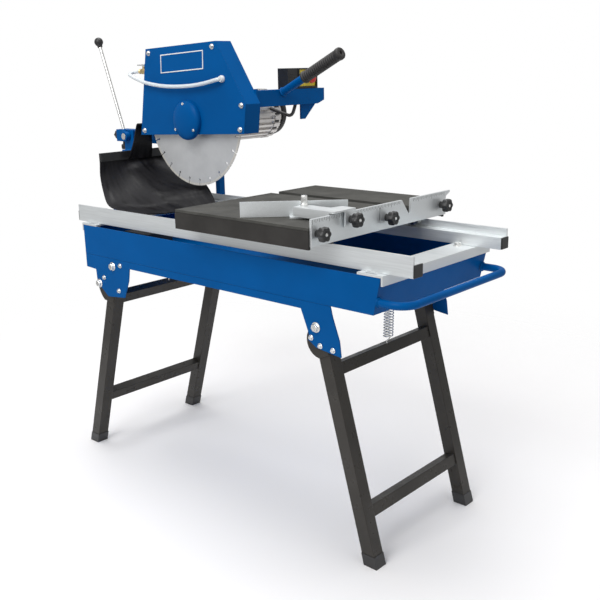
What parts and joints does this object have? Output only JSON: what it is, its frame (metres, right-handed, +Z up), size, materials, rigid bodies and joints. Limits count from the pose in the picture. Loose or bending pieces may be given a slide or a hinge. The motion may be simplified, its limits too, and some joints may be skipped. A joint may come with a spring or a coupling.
{
  "type": "tile cutter",
  "caption": "Wet tile cutter on folding legs, with a tilting and lifting motor head over a blade, a rolling matted table with fence and mitre gauge, and a water tray.",
  "frame": {"origin": "centre of the overall bounding box's footprint, on the floor under the feet", "axes": "+X along the rails towards the operator's end, +Y across the machine from the gauge side to the motor side, +Z up"},
  "size_m": [1.3065, 0.6224, 1.0865],
  "materials": {
    "blue_paint": "satin blue powder coat",
    "aluminium": "mill-finish extrusion",
    "dark_steel": "dark metallic paint",
    "rubber_mat": "matt textured mat",
    "black_rubber": "satin sheet rubber",
    "black_plastic": "moulded",
    "table_paint": "matt dark grey",
    "blade_steel": "ground steel",
    "zinc": "zinc plated",
    "motor_silver": "cast and painted silver",
    "clear_hose": "clear vinyl",
    "stop_red": "glossy red",
    "brass": "turned"
  },
  "bodies": {
    "frame": {"tray": "blue_paint", "bumper_bar": "blue_paint", "crossbar_front": "aluminium", "crossbar_rear": "aluminium", "rail_near": "aluminium", "rail_far": "aluminium", "leg_mount_near": "blue_paint", "leg_mount_far": "blue_paint", "water_pump": "black_plastic", "rear_support": "blue_paint", "splash_sheet": "black_rubber", "splash_strip": "black_plastic", "rest_post": "blue_paint", "front_leg_spring": "zinc", "rear_leg_spring": "zinc"},
    "front_legs": {"front_leg_near": "dark_steel", "front_leg_far": "dark_steel", "front_brace_upper": "dark_steel", "front_brace_lower": "dark_steel"},
    "rear_legs": {"rear_leg_near": "dark_steel", "rear_leg_far": "dark_steel", "rear_brace_upper": "dark_steel", "rear_brace_lower": "dark_steel"},
    "table": {"table_pan": "table_paint", "mat_near": "rubber_mat", "mat_far": "rubber_mat", "fence_plate": "aluminium"},
    "tilt_frame": {"tilt_pedestal": "blue_paint", "pivot_pin": "zinc"},
    "head": {"head_arm": "blue_paint", "motor_plate": "blue_paint", "guard_shell": "blue_paint", "guard_cover": "blue_paint", "arbor_cover": "blue_paint", "splash_flap": "black_rubber", "motor_housing": "motor_silver", "fan_cover": "black_plastic", "handle_beam": "blue_paint", "handle_grip": "black_rubber", "switch_box": "black_plastic", "water_hose": "clear_hose", "water_valve": "brass"},
    "blade_set": {"blade": "blade_steel", "spindle": "zinc"},
    "lock_lever": {"lock_lever": "zinc"},
    "gauge_arm": {"gauge_arm": "aluminium"},
    "gauge_bar": {"gauge_bar": "aluminium"},
    "gauge_nut": {"gauge_nut": "zinc"},
    "gauge_knob": {"gauge_knob": "black_plastic"},
    "stop_button": {"stop_button": "stop_red"},
    "tail_knob": {"tail_knob": "black_plastic"},
    "depth_knob": {"depth_knob": "black_plastic"},
    "valve_lever": {"valve_lever": "zinc"},
    "fence_knob_1": {"fence_knob_1": "black_plastic"},
    "fence_knob_2": {"fence_knob_2": "black_plastic"},
    "fence_knob_3": {"fence_knob_3": "black_plastic"},
    "roller_rear_near": {"roller_rear_near": "zinc"},
    "roller_rear_far": {"roller_rear_far": "zinc"},
    "roller_front_near": {"roller_front_near": "zinc"},
    "roller_front_far": {"roller_front_far": "zinc"}
  },
  "joints": [
    {"name": "front_legs_fold", "type": "hinge", "parent": "frame", "child": "front_legs", "pos_m": [0.4322, -0.07815, 0.491], "axis": [0, 1, 0], "range_deg": [0, 104.8], "deforming": ["front_leg_spring"]},
    {"name": "rear_legs_fold", "type": "hinge", "parent": "frame", "child": "rear_legs", "pos_m": [-0.2388, -0.07815, 0.523], "axis": [0, 1, 0], "range_deg": [-106.5, 0], "deforming": ["rear_leg_spring"]},
    {"name": "table_slide", "type": "slide", "parent": "frame", "child": "table", "axis": [1, 0, 0], "range_m": [-0.36, 0.15], "deforming": ["splash_sheet"]},
    {"name": "roller_rear_near_roll", "type": "hinge", "parent": "table", "child": "roller_rear_near", "pos_m": [0.1142, -0.23615, 0.6663], "axis": [0, 1, 0], "range_deg": [-1040, 440]},
    {"name": "roller_rear_far_roll", "type": "hinge", "parent": "table", "child": "roller_rear_far", "pos_m": [0.1142, 0.07985, 0.6663], "axis": [0, 1, 0], "range_deg": [-1040, 440]},
    {"name": "roller_front_near_roll", "type": "hinge", "parent": "table", "child": "roller_front_near", "pos_m": [0.4242, -0.23615, 0.6663], "axis": [0, 1, 0], "range_deg": [-1040, 440]},
    {"name": "roller_front_far_roll", "type": "hinge", "parent": "table", "child": "roller_front_far", "pos_m": [0.4242, 0.07985, 0.6663], "axis": [0, 1, 0], "range_deg": [-1040, 440]},
    {"name": "gauge_slide", "type": "slide", "parent": "table", "child": "gauge_arm", "axis": [0, 1, 0], "range_m": [-0.03, 0.07]},
    {"name": "gauge_swivel", "type": "hinge", "parent": "gauge_arm", "child": "gauge_bar", "pos_m": [0.3702, -0.22415, 0.701], "axis": [0, 0, 1], "range_deg": [-18, 45]},
    {"name": "gauge_nut_turn", "type": "hinge", "parent": "gauge_arm", "child": "gauge_nut", "pos_m": [0.3702, -0.22415, 0.725], "axis": [0, 0, 1], "range_deg": [0, 720]},
    {"name": "gauge_knob_turn", "type": "hinge", "parent": "gauge_arm", "child": "gauge_knob", "pos_m": [0.4692, -0.19915, 0.704], "axis": [1, 0, 0], "range_deg": [0, 720]},
    {"name": "fence_knob_1_turn", "type": "hinge", "parent": "table", "child": "fence_knob_1", "pos_m": [0.4615, -0.29115, 0.689], "axis": [1, 0, 0], "range_deg": [0, 720]},
    {"name": "fence_knob_2_turn", "type": "hinge", "parent": "table", "child": "fence_knob_2", "pos_m": [0.4615, -0.07115, 0.689], "axis": [1, 0, 0], "range_deg": [0, 720]},
    {"name": "fence_knob_3_turn", "type": "hinge", "parent": "table", "child": "fence_knob_3", "pos_m": [0.4615, 0.13285, 0.689], "axis": [1, 0, 0], "range_deg": [0, 720]},
    {"name": "head_tilt", "type": "hinge", "parent": "frame", "child": "tilt_frame", "pos_m": [-0.5448, 0.01285, 0.684], "axis": [1, 0, 0], "range_deg": [0, 45]},
    {"name": "head_lift", "type": "hinge", "parent": "tilt_frame", "child": "head", "pos_m": [-0.5448, 0.06485, 0.81], "axis": [0, -1, 0], "range_deg": [0, 35]},
    {"name": "blade_spin", "type": "hinge", "parent": "head", "child": "blade_set", "pos_m": [-0.2208, 0.01285, 0.87], "axis": [0, 1, 0], "continuous": true},
    {"name": "lock_lever_turn", "type": "hinge", "parent": "tilt_frame", "child": "lock_lever", "pos_m": [-0.5448, 0.03035, 0.81], "axis": [0, 1, 0], "range_deg": [-35, 0]},
    {"name": "stop_button_press", "type": "slide", "parent": "head", "child": "stop_button", "axis": [-1, 0, 0], "range_m": [0, 0.004], "stiffness_N_per_m": 500},
    {"name": "valve_lever_turn", "type": "hinge", "parent": "head", "child": "valve_lever", "pos_m": [-0.4048, 0.00285, 1.003], "axis": [0, 0, 1], "range_deg": [-90, 0]},
    {"name": "tail_knob_turn", "type": "hinge", "parent": "head", "child": "tail_knob", "pos_m": [-0.6088, 0.06485, 0.81], "axis": [-1, 0, 0], "range_deg": [0, 720]},
    {"name": "depth_knob_turn", "type": "hinge", "parent": "head", "child": "depth_knob", "pos_m": [-0.5968, 0.06485, 0.793], "axis": [0, 0, -1], "range_deg": [0, 720]}
  ],
  "couplings": [
    {"joint": "roller_rear_near_roll", "follows": "table_slide", "rad_per_m": 50},
    {"joint": "roller_rear_far_roll", "follows": "table_slide", "rad_per_m": 50},
    {"joint": "roller_front_near_roll", "follows": "table_slide", "rad_per_m": 50},
    {"joint": "roller_front_far_roll", "follows": "table_slide", "rad_per_m": 50}
  ]
}
